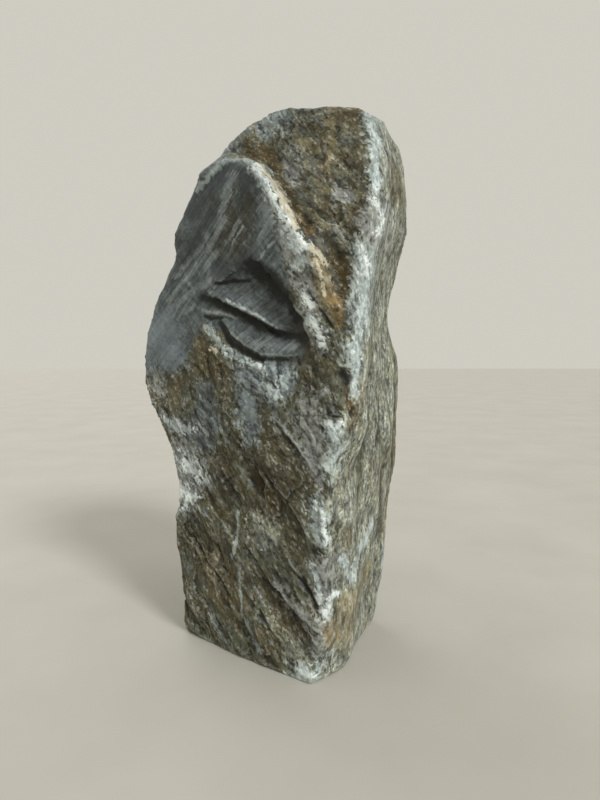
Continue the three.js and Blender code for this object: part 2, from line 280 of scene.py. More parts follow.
# Marks along lines: kind, half width, how far they rise, and the line.
marks = {
    "crestPale": ("paleGrey", 2.2, 0.5, [(-50, 302), (-36, 314), (-29, 318), (-19, 318), (-13, 314)]),
    "crestWhite": ("white", 3.6, 0.5, [(-12, 309), (-6, 300), (-2, 292), (2, 284), (7, 274)]),
    "crestCream": ("cream", 3.4, 0.4, [(-8, 310), (1, 299), (7, 289), (10, 278), (13, 270)]),
    "crestWhiteLow": ("white", 4.2, 0.4, [(9, 268), (14, 263), (19, 258)]),
    "crestWarm": ("cream", 2.0, 0.3, [(14, 264), (22, 257), (28, 253), (32, 249)]),
    "spurPale": ("cream", 1.2, 0.3, [(26, 249), (29, 240), (31, 229)]),
    "specksHigh": ("pale", 2.6, 0.2, [(12, 244), (17, 251), (21, 246)]),
    "specksLow": ("white", 2.2, 0.2, [(19, 232), (21, 226), (24, 221)]),
    "rustLine": ("rust", 3.2, -0.6, [(4, 304), (10, 292), (16, 282), (22, 273)]),
    "umberLine": ("umber", 3.6, -0.5, [(24, 271), (33, 262), (42, 250), (45, 238)]),
    "tanStreak": ("tan", 2.4, 0.2, [(35, 341), (37, 333), (36, 325), (34, 316), (33, 307)]),
    "orangeSpots": ("orange", 1.6, 0.0, [(16, 277), (20, 272), (24, 266)]),
    # Painted highlight on the nib, then painted shade in the notch beside it.
    "whiteNib": ("white", 3.2, 0.8, [(25, 214), (28, 207), (31, 199)]),
    "slateNib": ("slate", 2.6, -0.5, [(31, 214), (34, 206)]),
    # Painted light: the lip is a ledge that faces up, painted pale where it catches light.
    "lipBand": ("pale", 3.0, 1.0, [(-44, 212), (-38, 203), (-32, 197), (-21, 191), (-8, 185)]),
    "lipSpot": ("cream", 1.8, 0.3, [(-42, 198), (-39, 196)]),
    "lipWhite": ("white", 2.4, 0.3, [(-9, 188), (-5, 182)]),
    "paleBright": ("pale", 3.6, 0.2, [(-7, 174), (-1, 168), (3, 172), (8, 182)]),
    "streakHigh": ("lustre", 1.6, 0.1, [(-31, 265), (-26, 270), (-21, 277)]),
    "streakBeside": ("paleGrey", 0.8, 0.1, [(-27, 263), (-23, 268), (-19, 274)]),
    "streakMid": ("paleGrey", 0.9, 0.1, [(-9, 252), (-5, 257), (1, 262)]),
    "lustreTop": ("lustre", 3.4, 0.1, [(-41, 262), (-36, 276), (-31, 290), (-26, 306)]),
    "lustreHigh": ("lustre", 2.4, 0.1, [(-69, 247), (-58, 256), (-47, 264)]),
    "lustreMid": ("lustre", 4.0, 0.1, [(-74, 231), (-56, 248), (-41, 259)]),
    "lustreLow": ("lustre", 3.4, 0.1, [(-83, 217), (-62, 232), (-45, 241)]),
    "lustreBulge": ("lustre", 3.4, 0.1, [(-92, 203), (-72, 220), (-56, 226)]),
    "lustreRight": ("lustre", 5.0, 0.1, [(-6, 290), (-2, 274), (-4, 262)]),
    "lustreScoop": ("lustre", 2.8, 0.0, [(-27, 209), (-14, 202), (2, 199), (12, 199)]),
    "lustreLine": ("lustre", 2.2, 0.0, [(-44, 272), (-43, 252), (-43, 232)]),
    "slateTop": ("slate", 8.0, 0.0, [(-54, 290), (-44, 301), (-33, 310)]),
    "slateInner": ("slate", 5.0, 0.0, [(-20, 308), (-15, 300), (-20, 290)]),
    "slateHigh": ("slate", 4.0, -0.2, [(-66, 257), (-54, 269), (-42, 281), (-36, 290)]),
    "slateMid": ("slate", 3.0, -0.1, [(-71, 243), (-59, 255), (-49, 262)]),
    "slateHollow": ("slate", 6.0, 0.0, [(-36, 252), (-26, 248), (-16, 254)]),
    # Painted shadow: the marks of kind dark here lie where the brow, the flakes and the lens cast shade, and
    # in the thin crack.
    "browDark": ("dark", 4.4, 0.0, [(-14, 250), (-7, 245), (1, 236), (6, 230)]),
    "browDarkLow": ("dark", 2.4, 0.0, [(5, 231), (10, 224), (13, 216)]),
    "thinDark": ("dark", 1.0, 0.0, [(-38, 240), (-27, 241), (-16, 241)]),
    "flakeDark": ("dark", 3.2, 0.0, [(-47, 232), (-35, 226), (-22, 220), (-10, 213), (1, 208), (17, 205)]),
    # Painted highlight along the upper flake's lit edge.
    "flakeEdge": ("pale", 1.2, 0.2, [(-31, 229), (-15, 221), (-5, 215), (2, 210)]),
    "secondEdge": ("grey", 1.4, 0.1, [(-48, 223), (-35, 221), (-24, 218)]),
    "secondDark": ("dark", 1.2, 0.0, [(-47, 219), (-35, 217)]),
    "lensDark": ("dark", 1.8, 0.0, [(-36, 214), (-31, 204), (-20, 196), (-9, 191)]),
    "hollowUmber": ("umber", 4.5, 0.0, [(14, 214), (20, 203), (21, 193)]),
    # Painted shade in the pit; the rust below it is the stone's own.
    "pit": ("dark", 2.6, -1.4, [(41, 183), (44, 179)]),
    "pitRust": ("rust", 3.0, -0.6, [(42, 178), (45, 170), (47, 160), (47, 150)]),
    "whiteLedge": ("white", 2.6, 0.4, [(32, 153), (39, 153)]),
    "paleBelow": ("pale", 2.4, 0.3, [(35, 149), (40, 144), (41, 138)]),
    # Painted shadow line from the overhang above the white ledge.
    "ledgeDark": ("dark", 0.8, 0.0, [(34, 159), (41, 158)]),
    "arrisWhite": ("white", 2.2, 0.4, [(26, 108), (30, 98), (33, 86)]),
    "underDark": ("umber", 2.6, -0.4, [(27, 119), (34, 115)]),
    "arrisLow": ("pale", 1.8, 0.3, [(24, 70), (27, 61), (29, 50)]),
    "arrisNib": ("white", 3.4, 0.5, [(37, 53), (34, 48), (32, 42)]),
    "footWhite": ("white", 2.2, 0.2, [(15, 7), (26, 6)]),
    "paleHigh": ("pale", 3.4, 0.3, [(-77, 147), (-70, 144), (-60, 142)]),
    "paleBend": ("paleGrey", 3.0, 0.3, [(-50, 146), (-46, 142)]),
    "whiteLeftLow": ("white", 2.8, 0.4, [(-64, 103), (-60, 97), (-63, 88)]),
    "paleSeam": ("paleGrey", 0.9, 0.1, [(-23, 94), (-24, 79), (-27, 62)]),
    "paleSeamLow": ("paleGrey", 0.8, 0.1, [(-21, 56), (-20, 45), (-20, 30)]),
    "lavender": ("grey", 2.0, 0.3, [(0, 158), (5, 150), (12, 143), (18, 135), (24, 125), (28, 118)]),
    "darkMid": ("umber", 4.0, -0.6, [(-23, 141), (-16, 132), (-9, 122), (-6, 112)]),
    "darkLow": ("umber", 5.0, -0.5, [(12, 114), (20, 112), (25, 110)]),
    "stripeDark": ("umber", 2.6, -0.5, [(11, 78), (16, 68), (22, 60), (25, 52)]),
    # Painted shade in a groove by the inner flake, then umber with painted shadow under the low flake's
    # edge.
    "stripeDarkLow": ("dark", 1.2, -0.3, [(19, 62), (23, 55), (26, 47)]),
    "lowFlakeDark": ("umber", 3.0, -0.4, [(-4, 54), (3, 46), (10, 38), (20, 29)]),
    "lowFlakeGrey": ("grey", 4.0, 0.3, [(4, 53), (9, 47), (16, 42), (22, 36)]),
    "bandSpecks": ("white", 2.6, 0.1, [(62, 285), (68, 276), (64, 267)]),
    "ridgePale": ("pale", 3.2, 0.2, [(11, 262), (15, 255)]),
    "bandWhite": ("white", 3.0, 0.3, [(52, 258), (56, 251), (57, 241)]),
    "bandTop": ("pale", 3.0, 0.2, [(60, 340), (63, 326), (61, 308), (63, 296)]),
    "bandPale": ("pale", 3.6, 0.3, [(54, 240), (56, 226), (52, 214), (50, 200)]),
    "bandLine": ("pale", 2.4, 0.3, [(51, 206), (50, 190), (49, 170)]),
    "bandOlive": ("olive", 4.0, -0.3, [(60, 198), (61, 184)]),
    "rimSwell": ("steel", 6.0, 3.2, [(-46, 313), (-37, 323), (-29, 332)]),
    "umberLeft": ("umber", 4.0, -0.4, [(-50, 72), (-45, 61), (-41, 50)]),
    "brownLow": ("brown", 3.0, -0.4, [(-44, 46), (-32, 30), (-22, 16)]),
    "paleDots": ("paleGrey", 2.0, 0.1, [(-42, 22), (-37, 12)]),
    "paleFold": ("paleGrey", 1.6, 0.2, [(-18, 25), (-13, 16), (-8, 9)]),
}

# The same on the right side, whose lines are (depth, height).
sideMarks = {
    "veeRight": ("pale", 4.4, 0.4, [(-20, 78), (-38, 72), (-54, 66), (-63, 55)]),
    "veeLeft": ("pale", 3.0, 0.2, [(-74, 72), (-68, 63), (-63, 55)]),
    "footOrange": ("orange", 1.6, 0.0, [(-79, 36), (-77, 30), (-75, 24)]),
    "footTan": ("tan", 5.0, 0.0, [(-67, 23), (-59, 28), (-42, 38), (-28, 49)]),
    "paleStrip": ("paleGrey", 4.0, 0.3, [(10, 50), (9, 34), (5, 18)]),
    "brownSpot": ("brown", 5.0, -0.5, [(-69, 87), (-68, 82)]),
    "brownFleck": ("brown", 4.0, -0.3, [(-80, 169), (-78, 163)]),
    "brownEdge": ("brown", 6.0, -0.2, [(14, 156), (20, 118), (14, 76)]),
    "paleRun": ("side", 3.4, 0.1, [(-22, 176), (-18, 140), (-26, 100)]),
    "paleRunBack": ("side", 3.0, 0.1, [(4, 172), (8, 132), (2, 92)]),
    "brownRun": ("brown", 3.0, -0.2, [(-8, 170), (-4, 136), (-10, 104)]),
    "paleShoulder": ("paleGrey", 4.0, 0.1, [(-37, 320), (-30, 308), (-35, 292)]),
    "oliveHigh": ("olive", 4.0, -0.2, [(-62, 172), (-44, 132), (-50, 101)]),
    "oliveBack": ("olive", 9.0, -0.2, [(20, 200), (26, 160), (18, 120)]),
    "umberBack": ("umber", 7.0, -0.3, [(24, 290), (28, 262), (22, 240)]),
    "umberLow": ("umber", 5.0, -0.3, [(-10, 104), (-4, 84), (4, 66)]),
}

# Broken edges: proud on the left of the line as it runs, sunk on its right. Each is how proud and how
# far that reaches, how deep and how far that reaches, then the line.
ledges = {
    "brow": (1.6, 5, 6.0, 13, [
        (-19, 250), (-14, 253), (-7, 249), (1, 239), (10, 228), (19, 215), (22, 202), (22, 192),
    ]),
    "thinCrack": (0.2, 3, 0.8, 4, [(-42, 239), (-39, 240), (-27, 241), (-13, 242)]),
    "upperFlake": (2.2, 8, 3.6, 6, [(-50, 235), (-35, 228), (-22, 222), (-10, 215), (1, 209), (20, 205)]),
    "secondFlake": (0.7, 3, 1.2, 3, [(-49, 222), (-35, 219), (-22, 216)]),
    "lens": (1.6, 7, 2.9, 3, [(-38, 219), (-29, 208), (-19, 199), (-7, 193), (8, 192), (21, 194)]),
    "nib": (1.0, 4, 1.8, 5, [(27, 224), (33, 216), (38, 208)]),
    "whiteLedge": (1.4, 4, 1.8, 3, [(44, 158), (36, 160), (29, 158)]),
    "slabStepHigh": (0.15, 5, 0.25, 5, [(-70, 254), (-56, 264), (-43, 272)]),
    "slabStepMid": (0.2, 5, 0.3, 5, [(-74, 234), (-56, 246), (-42, 258)]),
    "slabStepLow": (0.2, 5, 0.3, 5, [(-80, 214), (-57, 228), (-42, 239)]),
    "slabCrease": (0.2, 8, 0.2, 6, [(-42, 230), (-41, 254), (-41, 268), (-40, 287), (-39, 308)]),
    "lavender": (1.3, 6, 1.8, 6, [(-2, 160), (2, 154), (11, 143), (19, 133), (26, 121)]),
    "middle": (0.9, 6, 1.9, 6, [(-30, 144), (-19, 133), (-8, 120), (2, 104)]),
    "middleLow": (1.0, 7, 1.6, 6, [(-8, 125), (8, 107), (19, 91), (24, 80)]),
    "foldLeft": (0.8, 5, 1.6, 5, [(-40, 124), (-24, 106), (-12, 94)]),
    "foldLow": (0.9, 5, 1.5, 5, [(-62, 78), (-47, 59), (-34, 47), (-22, 30)]),
    "foldMid": (0.9, 5, 1.5, 5, [(-24, 82), (-10, 66), (4, 47)]),
    "foldFoot": (0.8, 5, 1.4, 5, [(-20, 48), (-7, 34), (8, 14)]),
    "foldToe": (0.8, 5, 1.4, 5, [(-50, 36), (-34, 18), (-22, 3)]),
    "lowFlake": (1.0, 8, 1.6, 7, [(-9, 61), (2, 51), (11, 42), (22, 26)]),
    "innerFlake": (1.0, 5, 1.8, 4, [(5, 74), (16, 63), (23, 56), (28, 44)]),
    "facetLeft": (0.5, 6, 0.7, 5, [(0, 330), (17, 308), (30, 284)]),
    "facetRight": (0.4, 6, 0.5, 5, [(28, 340), (33, 310), (36, 280)]),
}
sideLedges = {
    "left": (0.3, 10, 0.5, 9, [(-62, 88), (-52, 121), (-64, 167), (-66, 214)]),
    "middle": (0.4, 10, 0.6, 8, [(-19, 72), (-29, 124), (-23, 177), (-27, 235)]),
    "right": (0.5, 9, 0.8, 8, [(9, 100), (8, 146), (16, 204), (5, 244)]),
    "shoulder": (0.6, 6, 0.8, 5, [(-48, 282), (-47, 303), (-41, 332)]),
}

# Kinds of areas and marks. Those of the body are laid over it in this order.
bodyKinds = [
    "olive", "umber", "brown", "steel", "blue", "grey", "tan", "rust", "orange", "cream",
    "paleGrey", "pale", "white",
]
# The kind dark is painted shadow and shade, laid last over the finished colour.
kinds = ["slab", "slabBrown", "slate", "lustre", "facet", "side", "dark", *bodyKinds]

# Sharp corners that are worn round: how far that reaches, then the line.
worn = {
    "arris": (11, [
        (21, 4), (29, 46), (30, 105), (38, 145), (45, 182), (46, 208), (50, 250), (58, 285), (58, 335),
    ]),
}


# Moves each point towards the middle of its neighbours, and out again by the last share.
def eased(places, ends, rounds, back=0.0):
    count = len(places)
    near = numpy.bincount(ends.ravel(), minlength=count)[:, None]
    for pull in [skin["easeShare"], -back] * rounds:
        if not pull:
            continue
        sums = numpy.empty_like(places)
        for axis in range(places.shape[1]):
            firstSum = numpy.bincount(ends[:, 0], places[ends[:, 1], axis], count)
            secondSum = numpy.bincount(ends[:, 1], places[ends[:, 0], axis], count)
            sums[:, axis] = firstSum + secondSum
        places = places + pull * (sums / near - places)
    return places


def partlyEased(places, ends, rounds, share):
    return places + (eased(places, ends, rounds) - places) * share[:, None]


def outwardAt(places, corners):
    first, second, third = (places[corners[:, turn]] for turn in range(3))
    tilts = numpy.cross(second - first, third - first)
    sums = numpy.zeros_like(places)
    for turn in range(3):
        for axis in range(3):
            sums[:, axis] += numpy.bincount(corners[:, turn], tilts[:, axis], len(places))
    return sums / numpy.linalg.norm(sums, axis=1)[:, None]


# How far each point stands out from the same skin eased.
def standingOut(places, ends, rounds, outward):
    return numpy.einsum("ij,ij->i", places - eased(places, ends, rounds), outward)


def smoothRise(values, low, high):
    part = numpy.clip((values - low) / (high - low), 0, 1)
    return part * part * (3 - 2 * part)


# From the low share where the part is 0 to all of it where the part is 1.
def shareFrom(low, part):
    return low + (1 - low) * part


# Spots as so many lengths along, across and into the grain.
def inGrain(spots, lengths, shift):
    axes = numpy.array([grain["along"], grain["across"], grain["into"]])
    return (spots @ axes.T / lengths + shift).tolist()


def fractalAt(spots, count):
    return numpy.array([noise.fractal(spot, *relief["octaves"], count) for spot in spots])


def grainNoise(spots, lengths, count, shift):
    return fractalAt(inGrain(spots, lengths, shift), count)


# Height of a skin of flat flakes: each one has its own level and its own tilt.
def flakeHeight(spots, lengths, shift):
    tiltSeed, levelSeed = 7.3, 5.1
    heights = []
    for spot in inGrain(spots, lengths, shift):
        middle = noise.voronoi(spot)[1][0]
        tilt = noise.cell_vector(middle * tiltSeed)
        level = relief["flakeLevel"] * (noise.cell(middle * levelSeed) - 0.5)
        heights.append((Vector(spot) - middle).dot(tilt) + level)
    return numpy.array(heights)


# The way from each spot's nearest place on one stretch of a line to the spot.
def offStretch(flat, start, end):
    way = end - start
    part = numpy.clip((flat - start) @ way / (way @ way), 0, 1)
    return flat - start - part[:, None] * way


def lineDistance(flat, line):
    knots = numpy.array(line, float)
    gaps = [numpy.linalg.norm(offStretch(flat, *stretch), axis=1) for stretch in zip(knots, knots[1:])]
    return numpy.minimum.reduce(gaps)


def ledgeRise(flat, proud, reachUp, deep, reachDown, line):
    knots = numpy.array(line, float)
    signed = numpy.full(len(flat), numpy.inf)
    for start, end in zip(knots, knots[1:]):
        way = end - start
        off = offStretch(flat, start, end)
        gap = numpy.linalg.norm(off, axis=1)
        leftward = numpy.where(way[0] * off[:, 1] > way[1] * off[:, 0], 1, -1)
        closer = gap < numpy.abs(signed)
        signed = numpy.where(closer, gap * leftward, signed)
    above = smoothRise(signed, -relief["ledgeSoft"], relief["ledgeSoft"])
    gap = numpy.abs(signed)
    length = numpy.linalg.norm(numpy.diff(knots, axis=0), axis=1).sum()
    fade = 1
    for tip in (knots[0], knots[-1]):
        fade = fade * smoothRise(numpy.linalg.norm(flat - tip, axis=1), 0, relief["ledgeFade"] * length)
    proudPart = proud * numpy.exp(-gap / reachUp) * above
    deepPart = deep * numpy.exp(-gap / reachDown) * (1 - above)
    return (proudPart - deepPart) * fade


def insideOutline(flat, outline):
    inside = numpy.zeros(len(flat), bool)
    for (x1, z1), (x2, z2) in zip(outline, outline[1:] + outline[:1]):
        if z1 == z2:
            continue
        spans = (z1 > flat[:, 1]) != (z2 > flat[:, 1])
        crossing = x1 + (flat[:, 1] - z1) * (x2 - x1) / (z2 - z1)
        inside ^= spans & (flat[:, 0] < crossing)
    return inside


# Shifts each spot a little, so that no mark or outline runs straight.
def wandered(flat):
    length, width = relief["waver"]
    aside, behind = apart["waver"]
    spots = [(x / length, 0.0, z / length) for x, z in flat.tolist()]
    elsewhere = [(x + aside, behind, z) for x, _, z in spots]
    return flat + width * numpy.column_stack([fractalAt(spots, 3), fractalAt(elsewhere, 3)])


# Places in millimetres, the corners of each face, and the ends of each edge.
def readSkin(mesh):
    places = numpy.empty(len(mesh.vertices) * 3)
    mesh.vertices.foreach_get("co", places)
    corners = numpy.empty(len(mesh.polygons) * 3, int)
    mesh.polygons.foreach_get("vertices", corners)
    ends = numpy.empty(len(mesh.edges) * 2, int)
    mesh.edges.foreach_get("vertices", ends)
    return places.reshape(-1, 3) / mm, corners.reshape(-1, 3), ends.reshape(-1, 2)


# Fills in the areas: a mask is a half on its outline, and full at twice its softness inside it.
def paintAreas(masks, flat, front):
    for kind, soft, outline in areas.values():
        gap = lineDistance(flat, outline + outline[:1])
        signed = numpy.where(insideOutline(flat, outline), gap, -gap)
        masks[kind] = numpy.maximum(masks[kind], numpy.clip(0.5 + signed / (4 * soft), 0, 1) * front)


# Wears the named corners, whatever is sharp behind, and the slab.
def wornPlaces(places, ends, corners, flat, front, slab):
    for reach, line in worn.values():
        share = smoothRise(reach - lineDistance(flat, line), 0, reach)
        share = share * smoothRise(places[:, 2], *wear["aboveFoot"]) * front
        places = partlyEased(places, ends, wear["cornerRounds"], share)
    sharp = standingOut(places, ends, wear["backRounds"], outwardAt(places, corners))
    share = smoothRise(sharp, *wear["backSharp"]) * (1 - front)
    share = share * smoothRise(places[:, 2], *wear["aboveFoot"])
    places = partlyEased(places, ends, wear["backRounds"], wear["backShare"] * share)
    share = wear["slabShare"] * smoothRise(slab, *wear["slabMask"])
    return partlyEased(places, ends, wear["slabRounds"], share)


# Paints the marks of one side of the stone, and adds their rise and that of its ledges.
def markedRise(rise, masks, flat, seen, itsMarks, itsLedges):
    for kind, wide, height, line in itsMarks.values():
        gap = lineDistance(flat, line)
        masks[kind] = numpy.maximum(masks[kind], numpy.clip(1 - gap / (2 * wide), 0, 1) * seen)
        rise = rise + height * numpy.exp(-((gap / wide) ** 2)) * seen
    for ledge in itsLedges.values():
        rise = rise + ledgeRise(flat, *ledge) * seen
    return rise


# Adds the flakes and leaves that run all over. Faces that lie along the leaves are cleaved, and keep most.
def grainRise(rise, masks, places, ends, front, cleaved):
    calm = 1 - (1 - relief["onSlab"]) * smoothRise(masks["slab"], *relief["within"])
    calm *= 1 - (1 - relief["onSide"]) * masks["side"]
    calm *= 1 - (1 - relief["onFacet"]) * smoothRise(masks["facet"], *relief["within"])
    lengths, middle, swing = relief["gusts"]
    fine = calm * shareFrom(relief["fineAcross"], cleaved)
    fine *= middle + swing * grainNoise(places, lengths, 2, apart["gusts"])
    fine *= shareFrom(relief["fineOff"], front)
    plates = calm * shareFrom(relief["platesAcross"], cleaved) * shareFrom(relief["platesOff"], front)
    blocks = shareFrom(relief["blocksOnFront"], 1 - front)

    lengths, width = relief["bends"]
    wander = [grainNoise(places, lengths, 2, turn * apart["bends"]) for turn in (1, 2, 3)]
    bent = places + width * numpy.column_stack(wander)
    for index, (name, share) in enumerate({"blocks": blocks, "plates": plates, "chips": fine}.items()):
        *lengths, height = relief[name]
        heights = flakeHeight(bent, lengths, apart["flakes"] * index)
        if name == "blocks":
            heights = eased(heights[:, None], ends, relief["blockRounds"])[:, 0]
        rise = rise + height * heights * share
    for index, name in enumerate(["leaves", "crumbs"]):
        *lengths, height = relief[name]
        rise = rise + height * grainNoise(places, lengths, 3, apart["leaves"] * index) * fine
    return rise


def dressSkin(piece):
    mesh = piece.data
    places, corners, ends = readSkin(mesh)
    places = eased(places, ends, skin["easeRounds"], skin["easeBack"])
    broad = outwardAt(eased(places, ends, facing["rounds"]), corners)
    front = smoothRise(-broad[:, 1], *facing["front"])
    right = smoothRise(broad[:, 0], *facing["right"])
    cleaved = numpy.abs(broad @ numpy.array(grain["into"]))
    frontFlat = wandered(places[:, [0, 2]])
    sideFlat = wandered(places[:, [1, 2]])

    masks = {kind: numpy.zeros(len(places)) for kind in kinds}
    paintAreas(masks, frontFlat, front)
    masks["side"] = numpy.maximum(masks["side"], smoothRise(broad[:, 0], *facing["side"]))
    places = wornPlaces(places, ends, corners, frontFlat, front, masks["slab"])
    outward = outwardAt(places, corners)
    rise = markedRise(numpy.zeros(len(places)), masks, frontFlat, front, marks, ledges)
    rise = markedRise(rise, masks, sideFlat, right, sideMarks, sideLedges)
    rise = grainRise(rise, masks, places, ends, front, cleaved)

    lifted = smoothRise(places[:, 2], *relief["footFade"])
    places = places + outward * (rise * lifted)[:, None]
    places[:, 2] = numpy.maximum(places[:, 2], 0)
    outward = outwardAt(places, corners)
    for name, (rounds, strength) in bendMasks.items():
        masks[name] = numpy.clip(0.5 + strength * standingOut(places, ends, rounds, outward), 0, 1)
    masks["front"] = front

    mesh.vertices.foreach_set("co", (places * mm).ravel())
    for name, values in masks.items():
        mesh.attributes.new(name, "FLOAT", "POINT").data.foreach_set("value", values.astype(numpy.float32))
    mesh.shade_smooth()
    mesh.update()


dressSkin(stone)
print("relief and marks laid on")


# Shader sums: a wire is one socket, and arithmetic on it adds the Math nodes it needs.
class Wire:
    def __init__(self, bench, socket):
        self.bench = bench
        self.socket = socket

    def __add__(self, other):
        return self.bench.maths("ADD", self, other)

    def __radd__(self, other):
        return self.bench.maths("ADD", other, self)

    def __sub__(self, other):
        return self.bench.maths("SUBTRACT", self, other)

    def __rsub__(self, other):
        return self.bench.maths("SUBTRACT", other, self)

    def __mul__(self, other):
        return self.bench.maths("MULTIPLY", self, other)

    def __rmul__(self, other):
        return self.bench.maths("MULTIPLY", other, self)


class Bench:
    def __init__(self, name):
        self.material = bpy.data.materials.new(name)
        self.material.use_nodes = True
        self.tree = self.material.node_tree
        self.tree.nodes.clear()

    # Adds a node: its type, its settings, then values or wires for its sockets.
    def node(self, kind, settings, sockets, output=0):
        made = self.tree.nodes.new(kind)
        for name, value in settings.items():
            setattr(made, name, value)
        for key, value in sockets.items():
            if isinstance(value, Wire):
                self.tree.links.new(value.socket, made.inputs[key])
            else:
                made.inputs[key].default_value = value
        return Wire(self, made.outputs[output]) if made.outputs else made

    def maths(self, operation, first, second):
        return self.node("ShaderNodeMath", {"operation": operation}, {0: first, 1: second})

    def mark(self, name):
        return self.node("ShaderNodeAttribute", {"attribute_name": name}, {}, "Fac")

    def rise(self, value, low, high):
        ends = {"Value": value, "From Min": low, "From Max": high}
        return self.node("ShaderNodeMapRange", {"interpolation_type": "SMOOTHSTEP"}, ends)

    def blend(self, share, under, over):
        return self.node("ShaderNodeMix", {"data_type": "RGBA"}, {0: share, 6: under, 7: over}, 2)

    def scaled(self, colour, amount):
        return self.node("ShaderNodeVectorMath", {"operation": "SCALE"}, {0: colour, "Scale": amount})

    def cloud(self, place, scale, detail, roughness=0.55):
        sockets = {"Vector": place, "Scale": scale, "Detail": detail, "Roughness": roughness}
        return self.node("ShaderNodeTexNoise", {}, sockets)


def tone(red, green, blue):
    linear = [((part / 255 + 0.055) / 1.055) ** 2.4 for part in (red, green, blue)]
    return (*linear, 1)


# Tones of the stone.
tones = {
    "olive": tone(94, 95, 72),
    "umber": tone(58, 51, 33),
    "greyGreen": tone(118, 123, 114),
    "slab": tone(74, 81, 82),
    "slabBrown": tone(58, 57, 47),
    "slate": tone(46, 51, 53),
    "lustre": tone(110, 117, 118),
    "facet": tone(118, 116, 92),
    "facetDark": tone(66, 61, 39),
    "side": tone(168, 173, 156),
    "sideLine": tone(190, 196, 184),
    "sideDark": tone(86, 86, 62),
    "brown": tone(80, 69, 43),
    "steel": tone(92, 100, 104),
    "blue": tone(116, 127, 132),
    "grey": tone(138, 141, 139),
    "tan": tone(132, 122, 92),
    "rust": tone(72, 57, 17),
    "orange": tone(126, 103, 63),
    "cream": tone(206, 199, 177),
    "paleGrey": tone(148, 159, 157),
    "pale": tone(190, 202, 203),
    "white": tone(222, 230, 228),
    # Dark: the tone of small pores, and of the painted shade in creases, hollows and under ledges.
    "dark": tone(18, 18, 14),
    "fleck": tone(176, 182, 176),
}

# Noise in the colour: lengths along, across and into the grain, then detail and roughness.
clouds = {
    "streaks": ((28, 8, 3.6), 5, 0.6),
    "threads": ((6, 1.8, 1.3), 3, 0.6),
    "mottle": ((14, 7, 6), 4, 0.65),
    "patches": ((60, 30, 24), 3, 0.6),
    "drift": ((26, 13, 10), 3, 0.6),
    "regions": ((110, 70, 60), 3, 0.6),
    "striae": ((60, 4.5, 14), 5, 0.62),  # these two run along the lines of the slab
    "scratches": ((16, 1.3, 5), 2, 0.6),
    "crumbs": (3.2, 3, 0.65),  # and these have no grain
    "grit": (1.2, 2, 0.7),
}

# Small leaves that each take their own tone: their lengths, and that of the wander in their edges.
leaves = {
    "flakes": (5.0, 2.4, 1.8),
    "grains": (1.9, 1.3, 1.1),
    "wander": 5,
}

# Tints: the tone, where in the noise it starts and where it is full, and its share.
tints = {
    "umberStreaks": ("umber", 0.46, 0.6, 0.85),
    "greyMottle": ("greyGreen", 0.47, 0.6, 0.85),
    "facetGrey": ("greyGreen", 0.5, 0.62, 0.5),
    "sideOlive": ("olive", 0.5, 0.6, 0.5),
    "brownDrift": ("brown", 0.51, 0.59, 0.55),
    "rustDrift": ("rust", 0.58, 0.63, 0.55),
    "steelDrift": ("steel", 0.52, 0.61, 0.5),
    "slabLustre": ("lustre", 0.46, 0.6, 0.35),
    "rustAway": ("rust", 0.54, 0.64, 0.45),  # these four lie mostly on the faces away from the front
    "blueAway": ("blue", 0.54, 0.64, 0.5),
    "brownAway": ("brown", 0.5, 0.58, 0.6),
    "paleAway": ("paleGrey", 0.53, 0.6, 0.5),
}

# How strongly the details show, and how the surface shines.
finish = {
    "flecks": 0.3,
    "threads": 0.4,
    "pores": 0.7,
    "poresOnPale": 0.3,
    "rubbedEdges": 0.22,
    # Painted shade: how dark creases are painted, less on the slab, then how dark the shadow marks of kind
    # dark are.
    "creaseShade": 0.62,
    "creaseShadeOnSlab": 0.32,
    "paintedShade": 0.92,
    "roughness": 0.62,
    "slabRoughness": 0.48,
    "specular": 0.3,
    "bumpStrength": 0.45,
    "bumpDepth": 0.8 * mm,
}


